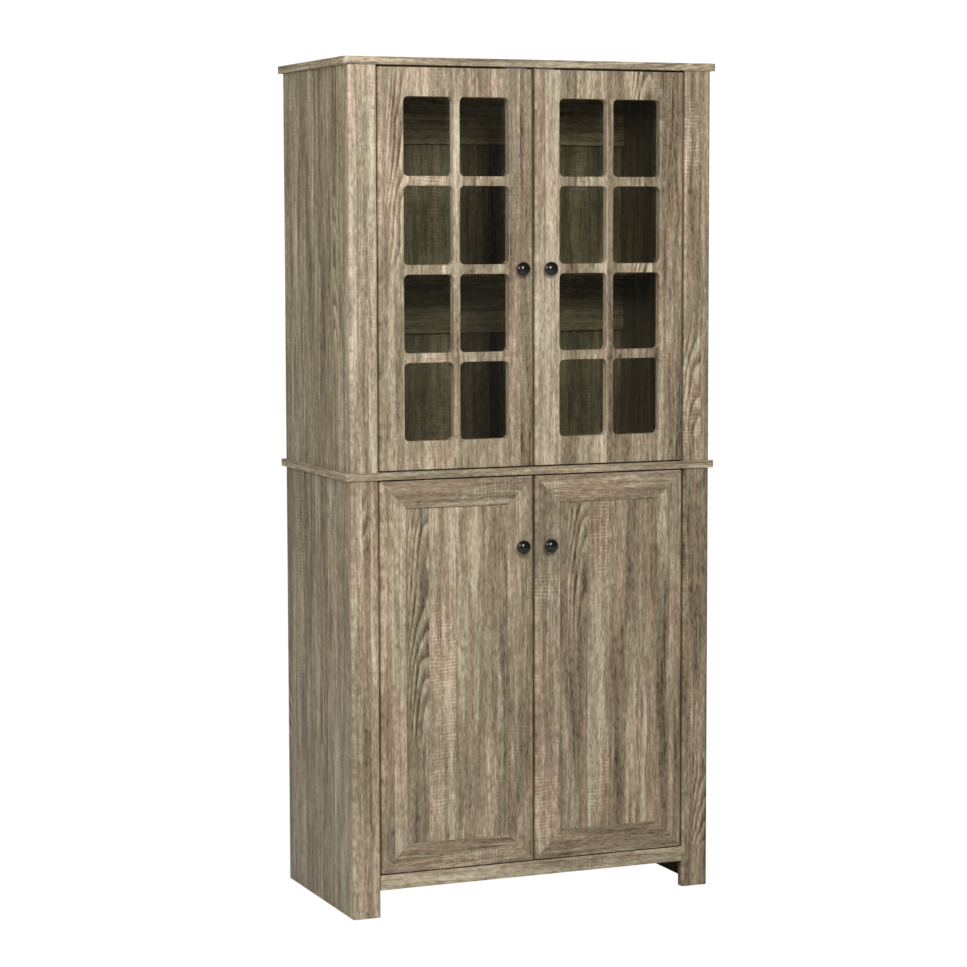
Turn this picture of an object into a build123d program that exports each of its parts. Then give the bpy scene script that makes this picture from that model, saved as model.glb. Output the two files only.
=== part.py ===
"""Pantry cabinet: a glazed upper cupboard and a panelled lower cupboard in oak-foil board.

Frame: millimetres, +X to the right of a person facing the doors, +Y to the back, +Z up.
The origin is on the floor, under the middle of the whole cabinet, knobs included.
"""
import os

from build123d import *

os.makedirs("parts", exist_ok=True)

# ---- driving dimensions ------------------------------------------------------------------
width = 800                    # top and middle boards
depth = 400
height = 1690
board = 15                     # thickness of the boards
front_thick = 18               # thickness of the stiles and doors
knob_reach = 25                # how far a knob stands out of its door
side_overhang = 10             # boards past the sides
front_overhang = 5             # boards past the doors
stile_width = 58
middle_top = 885               # top face of the middle board
rail_bottom, rail_top = 54, 84
rail_recess = 2                # bottom rail behind the stiles' faces
rail_thick = front_thick - rail_recess
back_thick = 3

gap_side, gap_middle, gap_end, gap_top = 2, 3, 3, 4   # round the doors
door_edge_radius, stile_edge_radius, board_corner_radius = 8, 6, 8

pane_width, pane_height, pane_radius = 104, 153.5, 10
bar_upright, bar_level = 14, 19
pane_rows, pane_columns = 4, 2
pane_edge_radius = 1.5
glass_thick, glass_lap = 3, 8

frame_width = 56               # border round the sunk panel of a lower door
sunk_depth, sunk_bevel = 3, 2

shelf_top = 1280               # fixed shelf of the upper cupboard
rail_height = 125              # level rails across the back
top_rail_drop = 15             # between the top board and the top back rail
lower_shelf_top = 485
shelf_setback = 22             # shelf front behind the back of the doors

knob_radius, knob_from_middle, lower_knob_drop = 14, 30, 141

pin_radius, pin_clearance = 2.5, 0.05
pivot_inset = 9                # pivot axis from the door's outer edge and from its face
bush_radius, bush_length, bush_flange, bush_flange_thick = 4.5, 6.5, 7, 1
leaf_from_edge, leaf_length, leaf_width, leaf_thick = 3, 44, 10, 2

# ---- planes and edges worked out from them -----------------------------------------------
back = (depth - front_overhang + knob_reach) / 2
face = -back + knob_reach                  # front of the stiles and doors
board_front = face - front_overhang
face_back = face + front_thick             # back of the stiles and doors
panel_back = back - back_thick             # rear edge of the sides
outer = width / 2 - side_overhang          # outside of the sides
inner = outer - board
opening = outer - stile_width              # half the width between the stiles
top_under = height - board
middle_under = middle_top - board
board_middle = board / 2
sides = {"left": -1, "right": 1}
MIN_Z = (Align.CENTER, Align.CENTER, Align.MIN)

door_outer = opening - gap_side
door_inner = gap_middle / 2
door_width = door_outer - door_inner
door_middle = (door_outer + door_inner) / 2
pivot_x = door_outer - pivot_inset
pivot_y = face + pivot_inset
levels = {
    "upper": (middle_top + gap_end, top_under - gap_top),
    "lower": (rail_top + gap_end, middle_under - gap_end),
}


def finish(builder, label):
    """Names the piece and writes it."""
    builder.part.label = label
    export_step(builder.part, f"parts/{label}.step")


def block(x, y, z, mode=Mode.ADD):
    """A box between two limits along each axis, inside the part that is being built."""
    centre = ((x[0] + x[1]) / 2, (y[0] + y[1]) / 2, (z[0] + z[1]) / 2)
    with Locations(centre):
        Box(x[1] - x[0], y[1] - y[0], z[1] - z[0], mode=mode)


def rod(start, direction, radius, length, mode=Mode.ADD):
    """A cylinder from a point along a direction."""
    with Locations(Plane(origin=start, z_dir=direction)):
        Cylinder(radius, length, align=MIN_Z, mode=mode)


def along(point, direction, distance):
    return tuple(p + d * distance for p, d in zip(point, direction))


def opposite(direction):
    return tuple(-d for d in direction)


# ---- where the fastenings go ---------------------------------------------------------------
# Cam fastenings: (point on the joint, direction into the board with the cam, side the cam goes in)
cam_reach, cam_radius, cam_height, cam_bore_depth = 34, 7.5, 12, 12.5
bolt_bite, bolt_thread_radius, bolt_shank_radius = 10, 3.4, 2.4
bolt_hole_radius, bolt_head_radius, bolt_head_length = 4, 3.4, 5
dowel_radius, dowel_hole, dowel_short, dowel_long = 4, 4.05, 10, 20
cam_front, cam_rear = -110, 160
lower_shift = 30               # fastenings under the middle board stand in front of those above it

side_centre = outer - board_middle
UP, DOWN, LEFT, RIGHT, FORWARD, BACKWARD = (0, 0, 1), (0, 0, -1), (-1, 0, 0), (1, 0, 0), (0, -1, 0), (0, 1, 0)
holes = {}                     # board name: [(start, direction, radius, depth)]
cams, dowels, nails = [], [], []


def drill(name, start, direction, radius, depth_of_hole):
    holes.setdefault(name, []).append((start, direction, radius, depth_of_hole))


def add_cam(point, into, opens, cam_board, bolt_board):
    """Records a cam and bolt, and the holes that they need in both boards."""
    cams.append((point, into, opens))
    drill(bolt_board, point, opposite(into), bolt_thread_radius + 0.05, bolt_bite + 0.5)
    drill(cam_board, point, into, bolt_hole_radius, cam_reach)
    mouth = along(along(point, into, cam_reach), opens, board_middle)
    drill(cam_board, mouth, opposite(opens), cam_radius + 0.05, cam_bore_depth)


def add_dowel(point, into, thick_board, thin_board):
    """Records a dowel: its long end goes into the edge of thick_board."""
    dowels.append((point, into))
    drill(thick_board, point, into, dowel_hole, dowel_long + 0.5)
    drill(thin_board, point, opposite(into), dowel_hole, dowel_short + 0.5)


back_rails = {
    "top_back_rail": (top_under - top_rail_drop - rail_height / 2, "upper"),
    "middle_back_rail": (shelf_top - board - rail_height / 2, "upper"),
    "lower_back_rail": (middle_under - rail_height / 2, "lower"),
}
stile_dowels = {"upper": (950, 1200, 1400, 1610), "lower": (40, 300, 560, 810)}
for side, sign in sides.items():
    x = sign * side_centre
    inward = (-sign, 0, 0)
    for y in (cam_front, cam_rear):
        add_cam((x, y, top_under), DOWN, inward, f"upper_side_{side}", "top_board")
        add_cam((x, y, middle_top), UP, inward, f"upper_side_{side}", "middle_board")
        y_low = y - lower_shift
        add_cam((x, y_low, middle_under), DOWN, inward, f"lower_side_{side}", "middle_board")
        wall = (sign * inner, y, rail_top - board_middle)
        add_cam(wall, inward, DOWN, "bottom_board", f"lower_side_{side}")
        wall = (sign * inner, y, shelf_top - board_middle)
        add_cam(wall, inward, DOWN, "upper_shelf", f"upper_side_{side}")
    for rail, (z, level) in back_rails.items():
        wall = (sign * inner, panel_back - board_middle, z)
        add_cam(wall, inward, BACKWARD, rail, f"{level}_side_{side}")
    for level, z_places in stile_dowels.items():
        for z in z_places:
            add_dowel((x, face_back, z), BACKWARD, f"{level}_side_{side}", f"{level}_stile_{side}")
for x in (-200, 0, 200):
    joint = (x, face_back, rail_top - board_middle)
    add_dowel(joint, BACKWARD, "bottom_board", "bottom_rail")

# Shelf pins: two columns of holes in each lower side, and a pin in the middle hole of each.
shelf_hole_radius, shelf_hole_depth, shelf_hole_pitch, shelf_holes = 2.5, 9, 32, 5
pin_columns = (-100, 150)
shelf_under = lower_shelf_top - board
pin_drop = 3.5                 # centre of a shelf pin below the shelf
pin_height = shelf_under - pin_drop
for side, sign in sides.items():
    for y in pin_columns:
        for step in range(shelf_holes):
            z = pin_height + (step - shelf_holes // 2) * shelf_hole_pitch
            start = (sign * inner, y, z)
            drill(f"lower_side_{side}", start, (sign, 0, 0), shelf_hole_radius + 0.05, shelf_hole_depth)

# Nails that hold the two back panels.
nail_radius, nail_length, nail_head_radius, nail_head = 0.9, 18, 2.5, 1
nail_count, nail_margin = 7, 40
back_panels = {"upper_back": (middle_top, top_under), "lower_back": (rail_top - board, middle_under)}


def add_nail(panel, name, x, z):
    """Records a nail through a back panel into the rear edge of a board."""
    nails.append((x, z))
    drill(name, (x, panel_back, z), FORWARD, nail_radius + 0.05, nail_length)
    drill(panel, (x, back, z), FORWARD, nail_radius + 0.05, back_thick)
    drill(panel, (x, back, z), FORWARD, nail_head_radius + 0.05, nail_head)


for panel, (z0, z1) in back_panels.items():
    level = panel.split("_")[0]
    nail_pitch = (z1 - z0 - 2 * nail_margin) / (nail_count - 1)
    for side, sign in sides.items():
        for step in range(nail_count):
            add_nail(panel, f"{level}_side_{side}", sign * side_centre, z0 + nail_margin + step * nail_pitch)
for x in (-250, -125, 125, 250):
    add_nail("upper_back", "upper_shelf", x, shelf_top - board_middle)
    add_nail("lower_back", "bottom_board", x, rail_top - board_middle)

# Bushes for the pivot pins: (board, z of the surface, direction into the board)
bushes = []
for side, sign in sides.items():
    for name, z, into in (
        ("top_board", top_under, UP),
        ("middle_board", middle_top, DOWN),
        ("middle_board", middle_under, UP),
        ("bottom_rail", rail_top, DOWN),
    ):
        place = (sign * pivot_x, pivot_y, z)
        bushes.append((place, into))
        drill(name, place, into, bush_radius, bush_length)

# Magnetic catches: one for each door, under the board above it.
catch_length, catch_depth, catch_height = 44, 16, 17
catch_gap, strike_thick, strike_length, strike_height = 0.3, 1.5, 36, 10
catch_front = face_back + strike_thick + catch_gap
catch_screw_radius, catch_screw_head, catch_screw_head_height, catch_screw_bite = 1.6, 3.2, 1.8, 7
catch_foot, catch_screw_back = 4, 3    # thickness of the feet, and screws behind the housing's middle
catch_screw_shifts = (-catch_length / 2 + 4, catch_length / 2 - 4)
magnet_length, magnet_height, magnet_depth, magnet_rim = 26, 9, 5, 1.5
catches = []
for side, sign in sides.items():
    for name, z in (("top_board", top_under), ("middle_board", middle_under)):
        centre = (sign * knob_from_middle, catch_front + catch_depth / 2, z)
        catches.append(centre)
        for shift in catch_screw_shifts:
            hole = (centre[0] + shift, centre[1] + catch_screw_back, z)
            drill(name, hole, UP, catch_screw_radius + 0.05, catch_screw_bite + 1)


def cut_holes(name):
    """Cuts a board's own holes into the part that is being built."""
    for start, direction, radius, depth_of_hole in holes.get(name, []):
        rod(start, direction, radius, depth_of_hole, mode=Mode.SUBTRACT)


# ---- boards of the case ---------------------------------------------------------------------
for name, z in (("top_board", top_under), ("middle_board", middle_under)):
    with BuildPart() as overhanging_board:
        block((-width / 2, width / 2), (board_front, back), (z, z + board))
        fillet(overhanging_board.edges().filter_by(Axis.Z).group_by(Axis.Y)[0], board_corner_radius)
        fillet(overhanging_board.faces().sort_by(Axis.Y)[0].edges().filter_by(Axis.X), 1)
        cut_holes(name)
    finish(overhanging_board, name)

side_spans = {"upper": (middle_top, top_under), "lower": (0, middle_under)}
for level, span in side_spans.items():
    for side, sign in sides.items():
        with BuildPart() as side_panel:
            block(sorted((sign * inner, sign * outer)), (face_back, panel_back), span)
            cut_holes(f"{level}_side_{side}")
        finish(side_panel, f"{level}_side_{side}")

        with BuildPart() as stile:
            block(sorted((sign * opening, sign * outer)), (face, face_back), span)
            fillet(stile.edges().filter_by(Axis.Z).group_by(Axis.Y)[0], stile_edge_radius)
            cut_holes(f"{level}_stile_{side}")
        finish(stile, f"{level}_stile_{side}")

with BuildPart() as bottom_rail:
    block((-opening, opening), (face_back - rail_thick, face_back), (rail_bottom, rail_top))
    cut_holes("bottom_rail")
finish(bottom_rail, "bottom_rail")

with BuildPart() as bottom_board:
    block((-inner, inner), (face_back, panel_back), (rail_top - board, rail_top))
    cut_holes("bottom_board")
finish(bottom_board, "bottom_board")

shelf_front = face_back + shelf_setback
with BuildPart() as upper_shelf:
    block((-inner, inner), (shelf_front, panel_back), (shelf_top - board, shelf_top))
    fillet(upper_shelf.faces().sort_by(Axis.Y)[0].edges().filter_by(Axis.X), 1)
    cut_holes("upper_shelf")
finish(upper_shelf, "upper_shelf")

loose = 1                      # play round the adjustable shelf
with BuildPart() as lower_shelf:
    shelf_span = (lower_shelf_top - board, lower_shelf_top)
    block((-inner + loose, inner - loose), (shelf_front, panel_back - board - loose), shelf_span)
    fillet(lower_shelf.faces().sort_by(Axis.Y)[0].edges().filter_by(Axis.X), 1)
finish(lower_shelf, "lower_shelf")

for rail, (z, level) in back_rails.items():
    with BuildPart() as back_rail:
        block((-inner, inner), (panel_back - board, panel_back), (z - rail_height / 2, z + rail_height / 2))
        cut_holes(rail)
    finish(back_rail, rail)

back_trim = 1.5                # back panels stop short of the outside of the sides
for panel, span in back_panels.items():
    with BuildPart() as back_panel:
        block((-outer + back_trim, outer - back_trim), (panel_back, back), (span[0] + 0.5, span[1] - 0.5))
        cut_holes(panel)
    finish(back_panel, panel)

# ---- fastenings of the case -------------------------------------------------------------------
slot_width, slot_depth, slot_length = 1.6, 2.5, 10
with BuildPart() as cam_pattern:
    Cylinder(cam_radius, cam_height, align=MIN_Z)
    chamfer(cam_pattern.faces().sort_by(Axis.Z)[-1].edges(), 0.5)
    with Locations((0, 0, cam_height - slot_depth / 2)):
        Box(slot_length, slot_width, slot_depth, mode=Mode.SUBTRACT)
        Box(slot_width, slot_length, slot_depth, mode=Mode.SUBTRACT)
    # pocket that takes the bolt's head, open towards the joint
    bolt_level = cam_bore_depth - board_middle
    rod((0, 0, bolt_level), RIGHT, bolt_head_radius + 0.2, cam_radius + 1, mode=Mode.SUBTRACT)

with BuildPart() as cam_locks:
    for point, into, opens in cams:
        seat = along(along(point, into, cam_reach), opens, board_middle - cam_bore_depth)
        with Locations(Plane(origin=seat, x_dir=opposite(into), z_dir=opens)):
            add(cam_pattern.part)
finish(cam_locks, "cam_locks")

bolt_head_start = cam_reach - bolt_head_length - 1
with BuildPart() as cam_bolts:
    for point, into, opens in cams:
        rod(along(point, into, -bolt_bite), into, bolt_thread_radius, bolt_bite)
        rod(point, into, bolt_shank_radius, bolt_head_start)
        rod(along(point, into, bolt_head_start), into, bolt_head_radius, bolt_head_length)
finish(cam_bolts, "cam_bolts")

with BuildPart() as dowel_pattern:
    Cylinder(dowel_radius, dowel_short + dowel_long, align=MIN_Z)
    chamfer(dowel_pattern.edges().filter_by(GeomType.CIRCLE), 0.8)

with BuildPart() as wood_dowels:
    for point, into in dowels:
        with Locations(Plane(origin=along(point, into, -dowel_short), z_dir=into)):
            add(dowel_pattern.part)
finish(wood_dowels, "wood_dowels")

with BuildPart() as back_nails:
    for x, z in nails:
        rod((x, back, z), FORWARD, nail_head_radius, nail_head)
        rod((x, back, z), FORWARD, nail_radius, nail_length)
finish(back_nails, "back_nails")

pin_stub, pin_reach, pin_half_width = 8, 11, 3.5
with BuildPart() as shelf_pins:
    for sign in sides.values():
        for y in pin_columns:
            rest_x = sorted((sign * inner, sign * (inner - pin_reach)))
            block(rest_x, (y - pin_half_width, y + pin_half_width), (shelf_under - 2 * pin_drop, shelf_under))
            rod((sign * inner, y, pin_height), (sign, 0, 0), shelf_hole_radius, pin_stub)
finish(shelf_pins, "shelf_pins")

with BuildPart() as pivot_bushes:
    for place, into in bushes:
        rod(along(place, into, -bush_flange_thick), into, bush_flange, bush_flange_thick)
        rod(place, into, bush_radius, bush_length)
        start = along(place, into, -bush_flange_thick)
        rod(start, into, pin_radius + pin_clearance, bush_length, mode=Mode.SUBTRACT)
finish(pivot_bushes, "pivot_bushes")



def magnet_block(catch, mode=Mode.ADD):
    """The magnet of a catch, or the pocket for it."""
    x, y, z = catch
    front = y - catch_depth / 2
    low = z - catch_height + magnet_rim
    magnet_span = (x - magnet_length / 2, x + magnet_length / 2)
    block(magnet_span, (front, front + magnet_depth), (low, low + magnet_height), mode=mode)


with BuildPart() as catch_housings:
    for catch in catches:
        x, y, z = catch
        span = (y - catch_depth / 2, y + catch_depth / 2)
        block((x - catch_length / 2, x + catch_length / 2), span, (z - catch_foot, z))
        body_half = magnet_length / 2 + 1
        block((x - body_half, x + body_half), span, (z - catch_height, z - catch_foot))
        magnet_block(catch, mode=Mode.SUBTRACT)
        for shift in catch_screw_shifts:
            hole = (x + shift, y + catch_screw_back, z)
            rod(hole, DOWN, catch_screw_radius + 0.05, catch_foot, mode=Mode.SUBTRACT)
finish(catch_housings, "catch_housings")

with BuildPart() as catch_magnets:
    for catch in catches:
        magnet_block(catch)
finish(catch_magnets, "catch_magnets")

with BuildPart() as catch_screws:
    for x, y, z in catches:
        for shift in catch_screw_shifts:
            start = (x + shift, y + catch_screw_back, z - catch_foot)
            rod(start, DOWN, catch_screw_head, catch_screw_head_height)
            rod(start, UP, catch_screw_radius, catch_foot + catch_screw_bite)
finish(catch_screws, "catch_screws")

# ---- doors ------------------------------------------------------------------------------------
row_pitch = pane_height + bar_level
column_pitch = pane_width + bar_upright
glass_width = pane_columns * column_pitch - bar_upright + 2 * glass_lap
glass_height = pane_rows * row_pitch - bar_level + 2 * glass_lap
knob_base, knob_neck = 8, 5.5
knob_screw_radius, knob_screw_head, knob_screw_head_height, knob_screw_bite = 2, 4, 2.4, 13
leaf_screw_radius, leaf_screw_head, leaf_screw_head_height, leaf_screw_length = 1.6, 3, 1.2, 16
leaf_screw_places = (22, 38)   # from the door's outer edge
strike_screw_radius, strike_screw_head, strike_screw_length = 1.4, 2.6, 12
clip_width, clip_foot, clip_lip, clip_thick = 14, 10, 5, 2
clip_screw_radius, clip_screw_head, clip_screw_head_height, clip_screw_bite = 1.4, 2.8, 1.6, 10
clip_spread = 0.38             # outer clips from the middle, as a share of the glass's height
play = 0.05                    # radial play round screws


def clip_places(sign, z_middle):
    """Points on the glass's edge, each with the direction in which the glass ends there."""
    places = []
    for share in (-clip_spread, 0, clip_spread):
        z = z_middle + share * glass_height
        for end in (-1, 1):
            places.append((sign * door_middle + end * glass_width / 2, z, end, 0))
    for end in (-1, 1):
        places.append((sign * door_middle, z_middle + end * glass_height / 2, 0, end))
    return places


def clip_block(place, near, far, y):
    """A block of a clip, from near to far along the clip's direction."""
    x, z, across, up = place
    half = clip_width / 2
    x_span = sorted((x + across * near, x + across * far)) if across else (x - half, x + half)
    z_span = sorted((z + up * near, z + up * far)) if up else (z - half, z + half)
    block(x_span, y, z_span)


for level, (z0, z1) in levels.items():
    gap_above = gap_top if level == "upper" else gap_end
    z_middle = (z0 + z1) / 2
    knob_z = z_middle if level == "upper" else z1 - lower_knob_drop
    for side, sign in sides.items():
        name = f"{level}_{side}"
        middle_x = sign * door_middle
        knob_x = sign * knob_from_middle
        leaf_start = door_outer - leaf_from_edge
        leaf_x = sorted((sign * leaf_start, sign * (leaf_start - leaf_length)))
        leaf_y = (pivot_y - leaf_width / 2, pivot_y + leaf_width / 2)
        leaf_screws = []       # (point on the door's end, direction into the door)
        for distance in leaf_screw_places:
            leaf_screws.append(((sign * (door_outer - distance), pivot_y, z0), UP))
            leaf_screws.append(((sign * (door_outer - distance), pivot_y, z1), DOWN))
        strike_z = (z1 - 2 - strike_height, z1 - 2)
        strike_point = (knob_x, face_back + strike_thick, sum(strike_z) / 2)
        clips = clip_places(sign, z_middle) if level == "upper" else []
        clip_top = face_back + glass_thick + clip_thick
        clip_points = []       # where each clip's screw enters it
        for x, z, across, up in clips:
            middle = clip_foot / 2
            clip_points.append((x + across * middle, clip_top, z + up * middle))

        with BuildPart() as door:
            block(sorted((sign * door_inner, sign * door_outer)), (face, face_back), (z0, z1))
            fillet(door.edges().filter_by(Axis.Z).group_by(Axis.Y)[0], door_edge_radius)
            if level == "upper":
                with BuildSketch(Plane.XZ.offset(-face_back)):
                    with Locations((middle_x, z_middle)):
                        with GridLocations(column_pitch, row_pitch, pane_columns, pane_rows):
                            RectangleRounded(pane_width, pane_height, pane_radius)
                extrude(amount=front_thick, mode=Mode.SUBTRACT)
                rims = door.faces().sort_by(Axis.Y)[0].inner_wires()
                fillet([edge for rim in rims for edge in rim.edges()], pane_edge_radius)
            else:
                with BuildSketch(Plane.XZ.offset(-face)):
                    with Locations((middle_x, z_middle)):
                        Rectangle(door_width - 2 * frame_width, z1 - z0 - 2 * frame_width)
                extrude(amount=-sunk_depth, mode=Mode.SUBTRACT)
                rim = door.faces().sort_by(Axis.Y)[0].inner_wires()[0]
                chamfer(rim.edges(), sunk_bevel)
            block(leaf_x, leaf_y, (z0, z0 + leaf_thick), mode=Mode.SUBTRACT)
            block(leaf_x, leaf_y, (z1 - leaf_thick, z1), mode=Mode.SUBTRACT)
            for start, into in leaf_screws:
                rod(start, into, leaf_screw_radius + play, leaf_screw_length, mode=Mode.SUBTRACT)
            rod((knob_x, face, knob_z), BACKWARD, knob_screw_radius + 0.5, front_thick, mode=Mode.SUBTRACT)
            rod(strike_point, FORWARD, strike_screw_radius + play, strike_screw_length, mode=Mode.SUBTRACT)
            for point in clip_points:
                depth_of_hole = clip_screw_bite + glass_thick + clip_thick
                rod(point, FORWARD, clip_screw_radius + play, depth_of_hole, mode=Mode.SUBTRACT)
        finish(door, f"door_{name}")

        with BuildPart() as knob:
            with BuildSketch(Plane(origin=(knob_x, face, knob_z), x_dir=RIGHT, z_dir=DOWN)):
                with BuildLine():
                    Polyline((0, knob_reach), (0, 0), (knob_base, 0), (knob_base, 1.5))
                    Spline(
                        (knob_base, 1.5), (knob_neck, 5), (knob_neck + 1.5, 10), (knob_radius, 16),
                        tangents=((-1, 0.4), (0, 1)),
                    )
                    Spline(
                        (knob_radius, 16), (knob_radius * 0.82, 21), (0, knob_reach),
                        tangents=((0, 1), (-1, 0)),
                    )
                make_face()
            revolve(axis=Axis((knob_x, face, knob_z), FORWARD))
            bite = knob_screw_bite + 0.5
            rod((knob_x, face, knob_z), FORWARD, knob_screw_radius + play, bite, mode=Mode.SUBTRACT)
        finish(knob, f"knob_{name}")

        with BuildPart() as knob_screw:
            head_top = (knob_x, face_back + knob_screw_head_height, knob_z)
            rod(head_top, FORWARD, knob_screw_head, knob_screw_head_height)
            fillet(knob_screw.edges().group_by(Axis.Y)[-1], 1)
            shank = knob_screw_head_height + front_thick + knob_screw_bite
            rod(head_top, FORWARD, knob_screw_radius, shank)
            with Locations((knob_x, head_top[1] - 0.5, knob_z)):
                Box(5, 1, 1, mode=Mode.SUBTRACT)
                Box(1, 1, 5, mode=Mode.SUBTRACT)
        finish(knob_screw, f"knob_screw_{name}")

        with BuildPart() as pivot_leaves:
            for z, into, gap in ((z0, UP, gap_end), (z1, DOWN, gap_above)):
                leaf_z = sorted((z, z + into[2] * leaf_thick))
                block(leaf_x, leaf_y, leaf_z)
                pin_length = leaf_thick + gap + bush_length - 1
                rod((sign * pivot_x, pivot_y, z + into[2] * leaf_thick), opposite(into), pin_radius, pin_length)
            for start, into in leaf_screws:
                rod(start, into, leaf_screw_radius + play, leaf_thick, mode=Mode.SUBTRACT)
                rod(start, into, leaf_screw_head + play, leaf_screw_head_height, mode=Mode.SUBTRACT)
        finish(pivot_leaves, f"pivot_leaves_{name}")

        with BuildPart() as strike_plate:
            strike_x = (knob_x - strike_length / 2, knob_x + strike_length / 2)
            block(strike_x, (face_back, face_back + strike_thick), strike_z)
            fillet(strike_plate.edges().filter_by(Axis.Y), 1.5)
            rod(strike_point, FORWARD, strike_screw_radius + play, strike_thick, mode=Mode.SUBTRACT)
            rod(strike_point, FORWARD, strike_screw_head + play, 1, mode=Mode.SUBTRACT)
        finish(strike_plate, f"strike_plate_{name}")

        with BuildPart() as door_screws:
            for start, into in leaf_screws:
                rod(start, into, leaf_screw_head, leaf_screw_head_height)
                rod(start, into, leaf_screw_radius, leaf_screw_length)
            rod(strike_point, FORWARD, strike_screw_head, 1)
            rod(strike_point, FORWARD, strike_screw_radius, strike_screw_length)
        finish(door_screws, f"door_screws_{name}")

        if level == "upper":
            with BuildPart() as glass:
                glass_x = (middle_x - glass_width / 2, middle_x + glass_width / 2)
                glass_z = (z_middle - glass_height / 2, z_middle + glass_height / 2)
                block(glass_x, (face_back, face_back + glass_thick), glass_z)
            finish(glass, f"glass_{side}")

            with BuildPart() as glass_clips:
                for place in clips:
                    clip_block(place, 0, clip_foot, (face_back, clip_top))
                    clip_block(place, -clip_lip, 0, (face_back + glass_thick, clip_top))
                for point in clip_points:
                    rod(point, FORWARD, clip_screw_radius + play, clip_screw_bite, mode=Mode.SUBTRACT)
            finish(glass_clips, f"glass_clips_{side}")

            with BuildPart() as clip_screws:
                for point in clip_points:
                    head_end = along(point, BACKWARD, clip_screw_head_height)
                    rod(head_end, FORWARD, clip_screw_head, clip_screw_head_height)
                    rod(point, FORWARD, clip_screw_radius, clip_screw_bite)
            finish(clip_screws, f"clip_screws_{side}")
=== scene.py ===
"""Pantry cabinet in grey oak foil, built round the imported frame.

The script gives the frame's nodes their materials and adds the floor, the lights and the camera.
Everything is in metres in the cabinet's own frame: +X to the right of a person facing the doors,
+Y to the back, +Z up, origin on the floor.
"""
import math

import bpy
from mathutils import Matrix, Vector


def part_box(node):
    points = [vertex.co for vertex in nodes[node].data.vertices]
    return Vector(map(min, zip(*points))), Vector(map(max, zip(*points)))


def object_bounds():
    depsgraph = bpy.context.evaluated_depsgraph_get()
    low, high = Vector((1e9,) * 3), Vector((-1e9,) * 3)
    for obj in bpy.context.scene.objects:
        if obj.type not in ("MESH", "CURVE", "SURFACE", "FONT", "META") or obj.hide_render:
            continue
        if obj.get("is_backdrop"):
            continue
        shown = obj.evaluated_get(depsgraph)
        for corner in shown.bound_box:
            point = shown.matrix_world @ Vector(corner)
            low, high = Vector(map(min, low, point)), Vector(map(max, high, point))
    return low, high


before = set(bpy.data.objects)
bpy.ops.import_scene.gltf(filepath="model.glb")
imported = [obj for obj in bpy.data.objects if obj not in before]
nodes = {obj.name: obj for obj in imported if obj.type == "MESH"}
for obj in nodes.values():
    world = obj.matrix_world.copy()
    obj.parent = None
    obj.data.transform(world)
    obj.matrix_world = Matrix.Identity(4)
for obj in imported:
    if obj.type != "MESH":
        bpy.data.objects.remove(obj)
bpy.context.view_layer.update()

bpy.context.scene.view_settings.view_transform = "Standard"


# ---- small helpers for node trees -----------------------------------------------------------
class Tree:
    """Adds nodes to a node tree, linking sockets and setting plain values by name."""

    def __init__(self, tree):
        self.tree = tree

    def add(self, kind, values=None, **settings):
        node = self.tree.nodes.new(kind)
        for key, value in settings.items():
            setattr(node, key, value)
        for key, value in (values or {}).items():
            if isinstance(value, bpy.types.NodeSocket):
                self.tree.links.new(value, node.inputs[key])
            else:
                node.inputs[key].default_value = value
        return node

    def math(self, operation, a, b=0.0, clamp=False):
        node = self.add("ShaderNodeMath", {0: a, 1: b}, operation=operation, use_clamp=clamp)
        return node.outputs[0]

    def ramp(self, value, low, high, to_low=0.0, to_high=1.0):
        """A smooth step of value from low to high."""
        values = {"Value": value, "From Min": low, "From Max": high,
                  "To Min": to_low, "To Max": to_high}
        return self.add("ShaderNodeMapRange", values, interpolation_type="SMOOTHSTEP").outputs[0]

    def vector(self, x, y, z):
        return self.add("ShaderNodeCombineXYZ", {0: x, 1: y, 2: z}).outputs[0]

    def noise(self, vector, detail=2.0, roughness=0.5, scale=1.0):
        values = {"Vector": vector, "Scale": scale, "Detail": detail, "Roughness": roughness}
        return self.add("ShaderNodeTexNoise", values).outputs["Fac"]

    def mix(self, factor, a, b, blend="MIX"):
        node = self.add("ShaderNodeMix", {"Factor": factor}, data_type="RGBA", blend_type=blend)
        for socket, value in ((node.inputs[6], a), (node.inputs[7], b)):
            if isinstance(value, bpy.types.NodeSocket):
                self.tree.links.new(value, socket)
            else:
                socket.default_value = value
        return node.outputs[2]

    def blend(self, factor, a, b):
        """A plain number between a and b."""
        return self.add("ShaderNodeMix", {0: factor, 2: a, 3: b}).outputs[0]

    def end(self, shader, kind="ShaderNodeOutputMaterial"):
        """Makes a shader the tree's result."""
        self.tree.links.new(shader.outputs[0], self.add(kind).inputs[0])


def linear(red, green, blue):
    """A colour given as 0-255 screen values, as the linear colour that a shader takes."""
    def one(value):
        value /= 255
        return value / 12.92 if value <= 0.04045 else ((value + 0.055) / 1.055) ** 2.4
    return (one(red), one(green), one(blue), 1.0)


def new_material(name):
    material = bpy.data.materials.new(name)
    material.use_nodes = True
    material.node_tree.nodes.clear()
    return material, Tree(material.node_tree)


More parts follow.
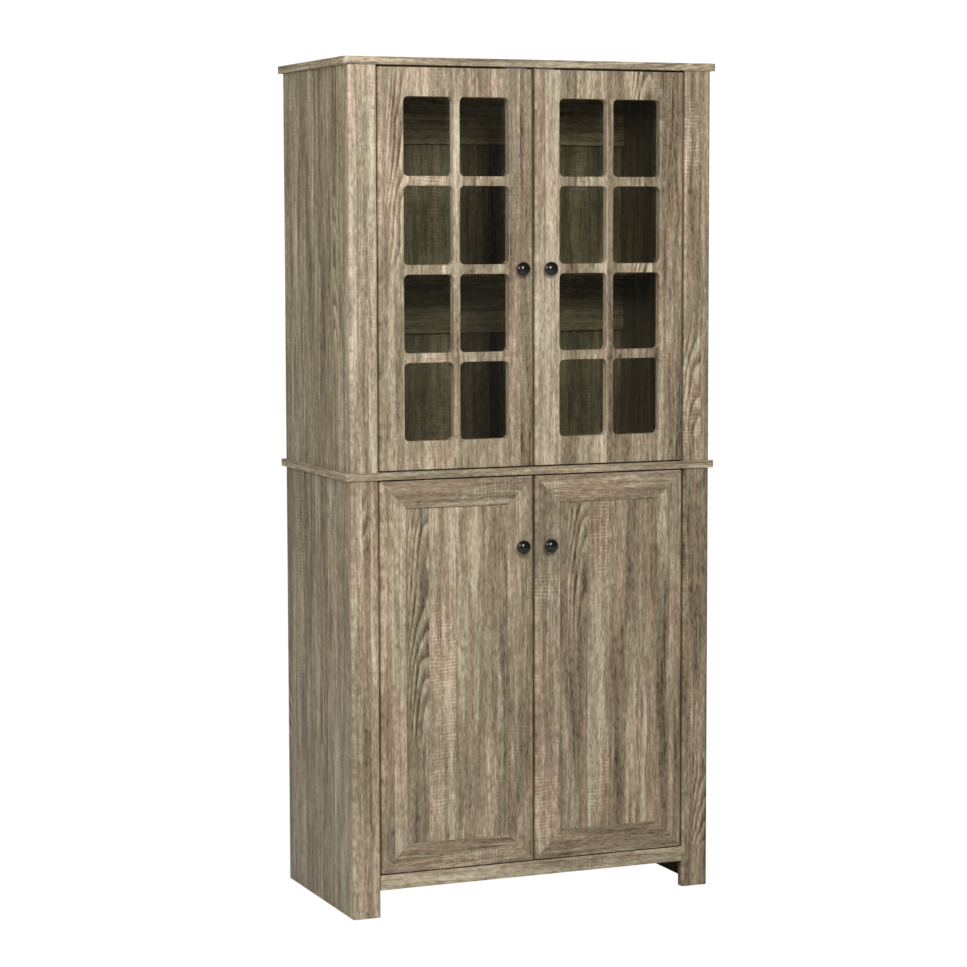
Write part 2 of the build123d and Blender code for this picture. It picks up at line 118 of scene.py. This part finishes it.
# ---- the printed oak pattern -----------------------------------------------------------------
DARK_OAK = linear(66, 52, 35)
MID_OAK = linear(150, 135, 111)
PALE_OAK = linear(220, 206, 180)
STRIP = 0.050          # usual width of one strip of the print
STRIP_SPREAD = 0.16    # change of tone from strip to strip, where the seed places them
PRINT_SHIFT = 0.37     # how far the print moves across a board for each unit of its seed
FLAMED_FROM = 0.78     # of the strips that the seed places, those picked above this are flamed
SEED_STRIDE = 0.37     # spreads the numbers of the listed strips over 0 to 1
FLAME_SPACING = 0.078  # distance between the arches of a flamed strip
FLAME_WIDTH = 0.021    # distance from the apex at which an arch has bent by about its spacing
SAW_SPACING = 0.0072   # distance between saw marks
WARM_GREY = (1.06, 0.985, 0.965, 1.0)
GREEN_GREY = (0.98, 0.998, 0.975, 1.0)
STRIP_INPUTS = ("Strip tone", "Saw", "Flame", "From apex", "Strip seed")
ANYWHERE = (-9.0, 9.0)  # heights for flames that show on the whole board

# the foil's surface
FOIL_BUMP, FOIL_DEPTH = 0.4, 0.0004
FOIL_SPECULAR = 0.35
FOIL_COAT, FOIL_COAT_ROUGHNESS = 0.2, 0.3

# the level rails of a lower door's frame
RAIL_SEED = 20         # added to the door's seed
RAIL_TONE = -0.09
RAIL_SPREAD = 0.04
MITRE = 0.003          # half the width over which rail and upright pass into each other

FACING = 0.7           # a face looks along an axis if its normal has more than this of it


def make_oak_group():
    """The foil's printed oak, over the distance across and along the grain in metres."""
    group = bpy.data.node_groups.new("oak_foil", "ShaderNodeTree")
    for name in ("Across", "Along", "Tone", "Flame from", "Flame to", *STRIP_INPUTS):
        group.interface.new_socket(name, in_out="INPUT", socket_type="NodeSocketFloat")
    group.interface.new_socket("Color", in_out="OUTPUT", socket_type="NodeSocketColor")
    group.interface.new_socket("Height", in_out="OUTPUT", socket_type="NodeSocketFloat")
    group.interface.new_socket("Roughness", in_out="OUTPUT", socket_type="NodeSocketFloat")
    t = Tree(group)
    given = t.add("NodeGroupInput").outputs
    across, along = given["Across"], given["Along"]

    def swing(value, size):
        """A 0-1 value as a change of up to half of size each way."""
        return t.math("MULTIPLY", t.math("SUBTRACT", value, 0.5), size)

    def total(*values):
        result = values[0]
        for value in values[1:]:
            result = t.math("ADD", result, value)
        return result

    def field(scale_across, scale_along, shift, source=across):
        """Coordinates for a noise with so many cells a metre across the grain and along it.

        shift keeps each noise apart from the others.
        """
        return t.vector(
            t.math("MULTIPLY", source, scale_across),
            t.math("MULTIPLY", along, scale_along),
            t.math("ADD", given["Strip seed"], shift),
        )

    wander = t.noise(field(26, 5, 3.1), detail=2.0)
    ring = t.math("ADD", across, swing(wander, 0.016))
    broad = t.noise(field(26, 2.2, 1.7, ring), detail=1.0)
    streaks = t.noise(field(95, 4.2, 5.3, ring), detail=2.0, roughness=0.55)
    lines = t.noise(field(300, 8, 9.1, ring), detail=2.0, roughness=0.6)
    fibres = t.noise(field(400, 75, 2.2), detail=2.0, roughness=0.6)
    flecks = t.noise(field(340, 70, 7.7), detail=1.0)
    blotches = t.noise(field(110, 34, 15.1), detail=2.0, roughness=0.6)

    # flamed strips: a row of arches, each with its top at the strip's apex, fading out to the sides
    from_apex = t.math("ABSOLUTE", given["From apex"])
    rise = t.math("POWER", t.math("DIVIDE", from_apex, FLAME_WIDTH), 1.8)
    phase = total(t.math("MULTIPLY", along, 1 / FLAME_SPACING), t.math("MULTIPLY", rise, 0.9),
                  swing(t.noise(field(9, 5, 21.3), detail=1.0), 4.0),
                  swing(t.noise(field(50, 24, 27.1), detail=2.0), 0.55))
    tooth = t.math("FRACT", phase)
    arch = t.math("SUBTRACT", t.ramp(tooth, 0.0, 0.75), t.ramp(tooth, 0.85, 1.0))
    near_apex = t.ramp(from_apex, 0.030, 0.052, 1.0, 0.15)
    shown = t.ramp(t.noise(field(3, 3.0, 31.7), detail=1.0), 0.34, 0.50)
    bottom, top = given["Flame from"], given["Flame to"]
    above_bottom = t.ramp(along, bottom, t.math("ADD", bottom, 0.06))
    below_top = t.ramp(along, t.math("SUBTRACT", top, 0.05), top, 1.0, 0.0)
    zone = t.math("MULTIPLY", above_bottom, below_top)
    flamed = t.math("MULTIPLY", t.math("MULTIPLY", given["Flame"], near_apex),
                    t.math("MULTIPLY", shown, zone))

    # saw marks: short pale dashes across the grain, in patches
    patch = t.ramp(t.noise(field(15, 6, 11.3), detail=1.0), 0.46, 0.62)
    drift = swing(t.noise(field(20, 14, 17.9), detail=1.0), 12.0)
    beat = t.math("SINE", t.math("ADD", t.math("MULTIPLY", along, math.tau / SAW_SPACING), drift))
    broken = t.ramp(t.noise(field(34, 70, 13.9), detail=1.0), 0.38, 0.62)
    saw = t.math("MULTIPLY", t.math("MULTIPLY", t.ramp(beat, -0.1, 0.95), patch), broken)
    saw = t.math("MULTIPLY", saw, given["Saw"])

    pores = t.ramp(flecks, 0.56, 0.76)
    dark_lines = t.ramp(lines, 0.60, 0.78)
    # each part's share in the tone, in which -0.5 is dark oak, 0 middling and 0.5 pale
    tone = total(
        given["Tone"],
        given["Strip tone"],
        swing(broad, 0.62),
        swing(streaks, 0.92),
        swing(lines, 0.54),
        swing(fibres, 0.80),
        swing(blotches, 0.46),
        t.math("MULTIPLY", saw, 0.19),
        t.math("MULTIPLY", swing(arch, 0.42), flamed),
        t.math("MULTIPLY", pores, -0.16),
        t.math("MULTIPLY", dark_lines, -0.24),
    )
    level = t.math("ADD", tone, 0.5, clamp=True)
    ramp = t.add("ShaderNodeValToRGB", {"Fac": level})
    stops = ramp.color_ramp.elements
    stops[0].position, stops[0].color = 0.0, DARK_OAK
    stops[1].position, stops[1].color = 1.0, PALE_OAK
    middle = stops.new(0.5)
    middle.color = MID_OAK
    # the print drifts between a warmer and a greener grey
    hue = t.noise(field(34, 3.0, 41.0), detail=3.0)
    hue = t.mix(t.ramp(hue, 0.36, 0.62), WARM_GREY, GREEN_GREY)
    colour = t.mix(1.0, ramp.outputs["Color"], hue, blend="MULTIPLY")

    height = total(t.math("MULTIPLY", fibres, 0.6), t.math("MULTIPLY", streaks, 0.3),
                   t.math("MULTIPLY", pores, -0.8), t.math("MULTIPLY", saw, 0.3))
    roughness = total(t.math("MULTIPLY", fibres, 0.16), t.math("MULTIPLY", pores, 0.12), 0.40)
    results = t.add("NodeGroupOutput").inputs
    for name, value in (("Color", colour), ("Height", height), ("Roughness", roughness)):
        group.links.new(value, results[name])
    return group


oak_group = make_oak_group()


def seeded_strips(t, across, number, spread):
    """Strips of the print where the seed puts them across a board."""
    place = t.math("ADD", across, number * PRINT_SHIFT)
    values = {"W": place, "Scale": 1 / STRIP, "Randomness": 0.55}
    cells = t.add("ShaderNodeTexVoronoi", values, voronoi_dimensions="1D", feature="F1").outputs
    picks = t.add("ShaderNodeSeparateColor", {0: cells["Color"]}).outputs
    tone = t.math("MULTIPLY", t.math("SUBTRACT", picks[2], 0.5), spread)
    saw = t.ramp(picks[2], 0.3, 0.7)
    flame = t.math("GREATER_THAN", picks[1], FLAMED_FROM)
    apex_from_middle = 0.024
    from_apex = t.math("SUBTRACT", t.math("SUBTRACT", place, cells["W"]), apex_from_middle)
    strip_seed = t.math("ADD", t.math("MULTIPLY", picks[0], 40), number)
    return tone, saw, flame, from_apex, strip_seed


def set_strips(t, across, number, start, width, strips):
    """Strips of the print set out one by one, each a row of SET_STRIPS."""
    share = t.math("DIVIDE", t.math("SUBTRACT", across, start), width)
    ramps = []
    for kind in ("look", "apex"):
        ramp = t.add("ShaderNodeValToRGB", {"Fac": share})
        ramp.color_ramp.interpolation = "CONSTANT"
        stops = ramp.color_ramp.elements
        stops.remove(stops[1])
        for index, (offset, tone, saw, apex) in enumerate(strips):
            stop = stops[0] if index == 0 else stops.new(min(offset / 1000 / width, 1.0))
            if kind == "look":
                stop.color = (tone + 0.5, saw, (index * SEED_STRIDE) % 1.0, 1.0)
            else:
                stop.color = (0.0 if apex is None else 1.0, (apex or 0) / 1000, 0.0, 1.0)
        ramps.append(t.add("ShaderNodeSeparateColor", {0: ramp.outputs["Color"]}).outputs)
    look, flames = ramps
    tone = t.math("SUBTRACT", look[0], 0.5)
    from_apex = t.math("SUBTRACT", t.math("SUBTRACT", across, start), flames[1])
    strip_seed = t.math("ADD", t.math("MULTIPLY", look[2], 30), number)
    return tone, look[1], flames[0], from_apex, strip_seed


def oak(name, seed, grain="upright", tint=(1.0, 1.0, 1.0), tone=0.0, border=None, strips=None,
        flames=ANYWHERE, inward=None):
    """Oak foil on one board.

    border is a lower door's box and frame width, whose rails then have level grain. strips is
    (axis, start, width, rows) for set_strips; without it the seed places the strips. flames are the
    heights between which a flamed strip shows its arches. inward is the axis and sign in which the
    face inside the cabinet looks; that face is darkened with painted shade.
    """
    material, t = new_material(name)
    coordinates = t.add("ShaderNodeTexCoord").outputs
    x, y, z = t.add("ShaderNodeSeparateXYZ", {0: coordinates["Object"]}).outputs
    facing = t.add("ShaderNodeSeparateXYZ", {0: coordinates["Normal"]}).outputs

    def looks_along(value):
        return t.math("GREATER_THAN", value, FACING)

    def pattern(direction, number, placed=None, change=0.0, spread=STRIP_SPREAD):
        if direction == "upright":
            across, along = t.math("ADD", x, y), z
        else:
            # the foil on a board's two ends runs on round the corner
            is_end = looks_along(t.math("ABSOLUTE", facing[0]))
            across = t.blend(is_end, t.math("ADD", z, y), z)
            along = t.blend(is_end, x, y)
        if placed:
            axis, start, width, rows = placed
            chosen = set_strips(t, {"x": x, "y": y}[axis], number, start, width, rows)
        else:
            chosen = seeded_strips(t, across, number, spread)
        node = t.add("ShaderNodeGroup", node_tree=oak_group)
        for key, value in (("Across", across), ("Along", along), *zip(STRIP_INPUTS, chosen)):
            t.tree.links.new(value, node.inputs[key])
        node.inputs["Tone"].default_value = tone + change
        node.inputs["Flame from"].default_value, node.inputs["Flame to"].default_value = flames
        return node.outputs

    chosen = pattern(grain, seed, strips)
    colour, height, rough = chosen["Color"], chosen["Height"], chosen["Roughness"]
    if border:
        low, high, frame_width = border
        to_side = t.math("MINIMUM", t.math("SUBTRACT", x, low.x), t.math("SUBTRACT", high.x, x))
        to_end = t.math("MINIMUM", t.math("SUBTRACT", z, low.z), t.math("SUBTRACT", high.z, z))
        nearer_end = t.ramp(t.math("SUBTRACT", to_side, to_end), -MITRE, MITRE)
        in_border = t.math("LESS_THAN", to_end, frame_width)
        rail = t.math("MULTIPLY", nearer_end, in_border)
        level = pattern("level", seed + RAIL_SEED, change=RAIL_TONE, spread=RAIL_SPREAD)
        colour = t.mix(rail, colour, level["Color"])
        height = t.blend(rail, height, level["Height"])
    if tint != (1.0, 1.0, 1.0):
        colour = t.mix(1.0, colour, (*tint, 1.0), blend="MULTIPLY")
    # painted shade: faces that look into the cabinet are multiplied by the darker inside tint
    if inward:
        axis, sign = inward
        is_inner = looks_along(t.math("MULTIPLY", facing["xyz".index(axis)], sign))
        colour = t.mix(is_inner, colour, (*INSIDE_SHADE, 1.0), blend="MULTIPLY")
    bump = t.add("ShaderNodeBump",
                 {"Height": height, "Strength": FOIL_BUMP, "Distance": FOIL_DEPTH})
    t.end(t.add("ShaderNodeBsdfPrincipled", {
        "Base Color": colour, "Roughness": rough, "Normal": bump.outputs[0],
        "Specular IOR Level": FOIL_SPECULAR,
        "Coat Weight": FOIL_COAT, "Coat Roughness": FOIL_COAT_ROUGHNESS,
    }))
    return material


def paint(node, material):
    """Gives a CAD node one material in place of its own."""
    for slot in nodes[node].material_slots:
        slot.material = material


# ---- boards ----------------------------------------------------------------------------------
# strips of the print, front to back or left to right: where the strip starts, its change of tone,
# how strong its saw marks are, and the apex of its flames or None, with places in mm from the
# board's edge
SET_STRIPS = {
    "door_upper_left": ((0, 0.0, 0.3, 63), (63, 0.06, 1.0, None), (140, -0.01, 0.2, None),
                        (205, -0.03, 0.0, None), (230, -0.06, 0.6, None), (298, -0.19, 0.3, None)),
    "door_upper_right": ((0, 0.03, 0.1, None), (23, 0.20, 0.2, None), (54, -0.07, 0.0, None),
                         (91, 0.08, 0.3, None), (157, -0.10, 0.0, None), (198, -0.06, 0.3, 253),
                         (257, -0.09, 0.5, None)),
    "door_lower_left": ((0, 0.03, 0.1, None), (27, 0.08, 0.3, None), (54, -0.05, 0.0, 103),
                        (103, 0.09, 1.0, None), (160, 0.03, 0.2, None), (187, -0.04, 0.1, None),
                        (242, -0.09, 0.4, None), (272, -0.03, 0.4, None)),
    "door_lower_right": ((0, -0.03, 0.9, None), (56, -0.05, 0.0, 115), (116, 0.06, 1.0, None),
                         (163, -0.11, 0.0, None), (198, -0.05, 0.2, None), (236, -0.02, 0.2, None),
                         (271, -0.12, 0.0, None), (298, -0.03, 0.3, None)),
    "upper_stile_left": ((0, 0.16, 0.4, None), (15, 0.06, 0.4, None), (38, 0.18, 0.6, None)),
    "upper_stile_right": ((0, -0.03, 1.0, 38), (38, -0.05, 0.4, None)),
    "lower_stile_left": ((0, 0.05, 0.3, None), (22, -0.03, 0.2, 40), (40, 0.05, 0.1, None)),
    "lower_stile_right": ((0, -0.10, 0.9, None), (24, -0.14, 0.0, 58)),
    "upper_side_left": ((0, 0.05, 0.7, None), (52, -0.12, 0.2, 75), (75, -0.02, 0.2, None),
                        (112, -0.06, 0.5, None), (160, 0.03, 0.8, None), (222, -0.02, 0.2, None),
                        (290, 0.02, 0.7, None), (335, -0.03, 0.3, None)),
    "upper_back": ((0, 0.0, 0.3, None), (60, -0.08, 0.2, None), (200, 0.02, 0.6, None),
                   (315, 0.10, 1.0, None), (375, -0.10, 0.1, None), (455, -0.16, 0.2, None),
                   (520, 0.02, 0.2, None), (620, 0.06, 0.9, None), (690, -0.06, 0.3, None)),
    "lower_side_left": ((0, 0.03, 0.6, None), (88, 0.06, 0.2, None), (126, -0.12, 0.2, 165),
                        (165, 0.0, 0.1, None), (215, -0.04, 0.2, None), (262, 0.02, 1.0, None),
                        (315, -0.08, 0.1, 370)),
}

# the heights in metres between which a board's flames show
FLAMES = {
    "door_upper_left": (1.26, 1.68), "door_lower_left": (0.32, 0.82),
    "door_lower_right": (0.52, 0.83), "upper_stile_right": (0.90, 1.17),
    "lower_stile_right": (0.05, 0.30), "lower_stile_left": (0.62, 0.86),
    "upper_side_left": (1.1, 1.5), "lower_side_left": (0.25, 0.55),
}


def print_strips(node):
    """The strips listed for a board, or None."""
    if node not in SET_STRIPS:
        return None
    low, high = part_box(node)
    axis = "y" if "_side_" in node else "x"
    start, stop = (low.y, high.y) if axis == "y" else (low.x, high.x)
    return axis, start, stop - start, SET_STRIPS[node]


def paint_upright(node, seed, **settings):
    """Oak with upright grain, with the strips and flames that are set out for the board."""
    paint(node, oak(f"oak_{node}", seed, strips=print_strips(node),
                    flames=FLAMES.get(node, ANYWHERE), **settings))


DOOR_FRAME = 0.056               # width of a lower door's frame
SIDE = (0.955, 0.985, 0.96)      # painted shade: the side panels a little darker and greener than the front
INSIDE_SHADE = (0.60, 0.57, 0.48)      # painted shade on the faces inside the cabinet, which little light reaches
BACK_RAIL_SHADE = (0.92, 0.88, 0.72)  # painted shade on the back rails, lighter than on the rest of the inside
EDGES = (1.0, 1.015, 1.01)       # the bottom rail, and the boards seen mostly by their front edge
EDGES_TONE = 0.05
# how far the seed moves on after a board, so that no two boards have the same print
SIDE_STEP, DOOR_STEP, LEVEL_STEP, BACK_STEP = 3.7, 5.7, 3.9, 3.3

seed = 1.0
for level in ("upper", "lower"):
    for side, to_middle in (("left", 1), ("right", -1)):
        # painted shade: the side panels take the side tint, and their inner faces the inside tint
        paint_upright(f"{level}_side_{side}", seed, tint=SIDE, inward=("x", to_middle))
        seed += SIDE_STEP
        paint_upright(f"{level}_stile_{side}", seed)
        seed += SIDE_STEP
        node = f"door_{level}_{side}"
        low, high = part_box(node)
        border = (low, high, DOOR_FRAME) if level == "lower" else None
        paint_upright(node, seed, border=border)
        seed += DOOR_STEP
for name in ("top_board", "middle_board", "bottom_rail"):
    paint(name, oak(f"oak_{name}", seed, grain="level", tint=EDGES, tone=EDGES_TONE))
    seed += LEVEL_STEP
# painted shade: the bottom board and shelves take the darker inside tint on every face, the back
# rails a lighter shade tint
for name in ("bottom_board", "upper_shelf", "lower_shelf", "top_back_rail", "middle_back_rail",
             "lower_back_rail"):
    tint = BACK_RAIL_SHADE if "rail" in name else INSIDE_SHADE
    paint(name, oak(f"oak_{name}", seed, grain="level", tint=tint))
    seed += LEVEL_STEP
for name in ("upper_back", "lower_back"):
    paint_upright(name, seed, inward=("y", -1))
    seed += BACK_STEP


# ---- glass, metal, plastic -------------------------------------------------------------------
GLASS_TINT = (0.90, 0.93, 0.90, 1.0)
GLASS_ROUGHNESS = 0.02
GLASS_IOR = 1.5


def make_glass():
    """Clear float glass with a faint green tint, mirror-like at a slant."""
    material, t = new_material("float_glass")
    clear = t.add("ShaderNodeBsdfTransparent", {"Color": GLASS_TINT})
    shine = t.add("ShaderNodeBsdfGlossy", {"Roughness": GLASS_ROUGHNESS})
    # on the sheet's far face the Fresnel node would reflect every slanting ray, as from inside a
    # block of glass; a ray leaves a flat sheet as it came in, so that face reflects nothing
    front = t.math("SUBTRACT", 1.0, t.add("ShaderNodeNewGeometry").outputs["Backfacing"])
    share = t.math("MULTIPLY", t.add("ShaderNodeFresnel", {"IOR": GLASS_IOR}).outputs[0], front)
    t.end(t.add("ShaderNodeMixShader", {0: share, 1: clear.outputs[0], 2: shine.outputs[0]}))
    return material


def make_solid(name, colour, metallic, roughness, scale, spread, depth, coat=0.0):
    """A metal or plastic with a fine texture.

    scale is the texture's grains per metre, spread its change in roughness and depth its bump in
    metres.
    """
    material, t = new_material(name)
    place = t.add("ShaderNodeTexCoord").outputs["Object"]
    grain = t.noise(place, detail=3.0, scale=scale)
    rough = t.ramp(grain, 0.3, 0.7, roughness - spread, roughness + spread)
    bump = t.add("ShaderNodeBump", {"Height": grain, "Strength": 0.5, "Distance": depth})
    darker = [channel * 0.9 for channel in colour[:3]] + [1]
    tone = t.mix(t.ramp(grain, 0.3, 0.7), darker, colour)
    t.end(t.add("ShaderNodeBsdfPrincipled", {
        "Base Color": tone, "Roughness": rough, "Normal": bump.outputs[0],
        "Metallic": metallic, "Coat Weight": coat,
    }))
    return material


glass = make_glass()
black_metal = make_solid("black_metal", linear(30, 29, 27), metallic=0.5, roughness=0.27,
                         scale=700, spread=0.05, depth=0.00003, coat=0.6)
zinc = make_solid("zinc_plate", linear(188, 188, 184), metallic=1.0, roughness=0.34,
                  scale=900, spread=0.08, depth=0.00003)
# painted shade: the pivot leaves and bushes, zinc and nylon, are given a dark brown so that they
# read as the shade in the door gaps
pivot_shade_brown = make_solid("pivot_shade_brown", linear(62, 54, 44), metallic=0.3, roughness=0.42,
                           scale=500, spread=0.05, depth=0.00003)
nylon = make_solid("white_nylon", linear(226, 224, 216), metallic=0.0, roughness=0.42,
                   scale=500, spread=0.05, depth=0.00003)
ferrite = make_solid("ferrite", linear(58, 57, 58), metallic=0.0, roughness=0.6,
                     scale=1500, spread=0.08, depth=0.00005)
beech = make_solid("beech", linear(206, 172, 128), metallic=0.0, roughness=0.6,
                   scale=600, spread=0.06, depth=0.00005)

for node in nodes:
    if node.startswith(("glass_clips", "catch_housings")):
        paint(node, nylon)
    # painted shade: the zinc pivot leaves and nylon bushes take the dark brown shade colour
    elif node == "pivot_bushes" or node.startswith("pivot_leaves"):
        paint(node, pivot_shade_brown)
    elif node.startswith("glass_"):
        paint(node, glass)
    elif node.startswith("knob_") and "screw" not in node:
        paint(node, black_metal)
    elif node == "wood_dowels":
        paint(node, beech)
    elif node == "catch_magnets":
        paint(node, ferrite)
    elif node.startswith(("cam_", "back_nails", "shelf_pins", "catch_screws", "clip_screws",
                          "door_screws", "knob_screw", "strike_plate")):
        paint(node, zinc)


# ---- floor, light, camera --------------------------------------------------------------------
FLOOR_HALF = 40.0
FLOOR_GREY = 0.6        # what the floor throws back on the cabinet
FLOOR_SEEN = 1.02       # the camera sees it as plain white
FILL = 0.30             # light that comes from all round
FILL_SEEN = 0.78        # added where the camera sees it, so that it is white there
FILL_IN_GLOSS = 0.20    # taken away in reflections
floor_mesh = bpy.data.meshes.new("floor")
corners = [(-FLOOR_HALF, -FLOOR_HALF, 0), (FLOOR_HALF, -FLOOR_HALF, 0),
           (FLOOR_HALF, FLOOR_HALF, 0), (-FLOOR_HALF, FLOOR_HALF, 0)]
floor_mesh.from_pydata(corners, [], [(0, 1, 2, 3)])
floor = bpy.data.objects.new("floor", floor_mesh)
bpy.context.scene.collection.objects.link(floor)
floor_material, t = new_material("pale_floor")
seen = t.add("ShaderNodeLightPath").outputs["Is Camera Ray"]
diffuse = t.add("ShaderNodeBsdfDiffuse", {"Color": (FLOOR_GREY, FLOOR_GREY, FLOOR_GREY, 1.0)})
glow = t.add("ShaderNodeEmission", {"Strength": FLOOR_SEEN})
t.end(t.add("ShaderNodeMixShader", {0: seen, 1: diffuse.outputs[0], 2: glow.outputs[0]}))
floor.data.materials.append(floor_material)
floor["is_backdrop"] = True

world = bpy.data.worlds.new("studio")
world.use_nodes = True
world.node_tree.nodes.clear()
t = Tree(world.node_tree)
rays = t.add("ShaderNodeLightPath").outputs
fill = t.math("ADD", t.math("MULTIPLY", rays["Is Camera Ray"], FILL_SEEN), FILL)
fill = t.math("SUBTRACT", fill, t.math("MULTIPLY", rays["Is Glossy Ray"], FILL_IN_GLOSS))
sky = t.add("ShaderNodeBackground", {"Color": (1.0, 1.0, 1.0, 1.0), "Strength": fill})
t.end(sky, "ShaderNodeOutputWorld")
bpy.context.scene.world = world


def soft_box(name, place, target, size, power):
    """A square studio light that faces a target."""
    light = bpy.data.lights.new(name, "AREA")
    light.size, light.energy = size, power
    lamp = bpy.data.objects.new(name, light)
    lamp.location = place
    lamp.rotation_mode = "QUATERNION"
    lamp.rotation_quaternion = (Vector(target) - Vector(place)).to_track_quat("-Z", "Y")
    bpy.context.scene.collection.objects.link(lamp)


soft_box("key_light", place=(-0.55, -2.9, 2.10), target=(0, 0, 1.3), size=0.85, power=56.5)
soft_box("side_light", place=(-2.8, -1.2, 2.1), target=(0, 0, 1.3), size=1.4, power=39)
# lights the back for the views from behind
soft_box("back_light", place=(1.9, 3.2, 2.2), target=(0, 0, 1.0), size=2.0, power=60)

SENSOR_WIDTH, FOCAL_LENGTH = 36.0, 103.74
CAMERA_PLACE = Vector((-2.222, -5.267, 1.369))
TURN, TILT, LEAN = math.radians(22.56), math.radians(-5.33), math.radians(-0.14)
forward = Vector((math.sin(TURN) * math.cos(TILT), math.cos(TURN) * math.cos(TILT),
                  math.sin(TILT)))
right = Vector((math.cos(TURN), -math.sin(TURN), 0))
up = right.cross(forward)
right, up = (right * math.cos(LEAN) + up * math.sin(LEAN),
             up * math.cos(LEAN) - right * math.sin(LEAN))
camera_data = bpy.data.cameras.new("camera")
camera_data.sensor_width, camera_data.lens = SENSOR_WIDTH, FOCAL_LENGTH
camera = bpy.data.objects.new("camera", camera_data)
turned = Matrix((right, up, -forward)).transposed().to_4x4()
camera.matrix_world = Matrix.Translation(CAMERA_PLACE) @ turned
bpy.context.scene.collection.objects.link(camera)
bpy.context.scene.camera = camera

low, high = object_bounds()
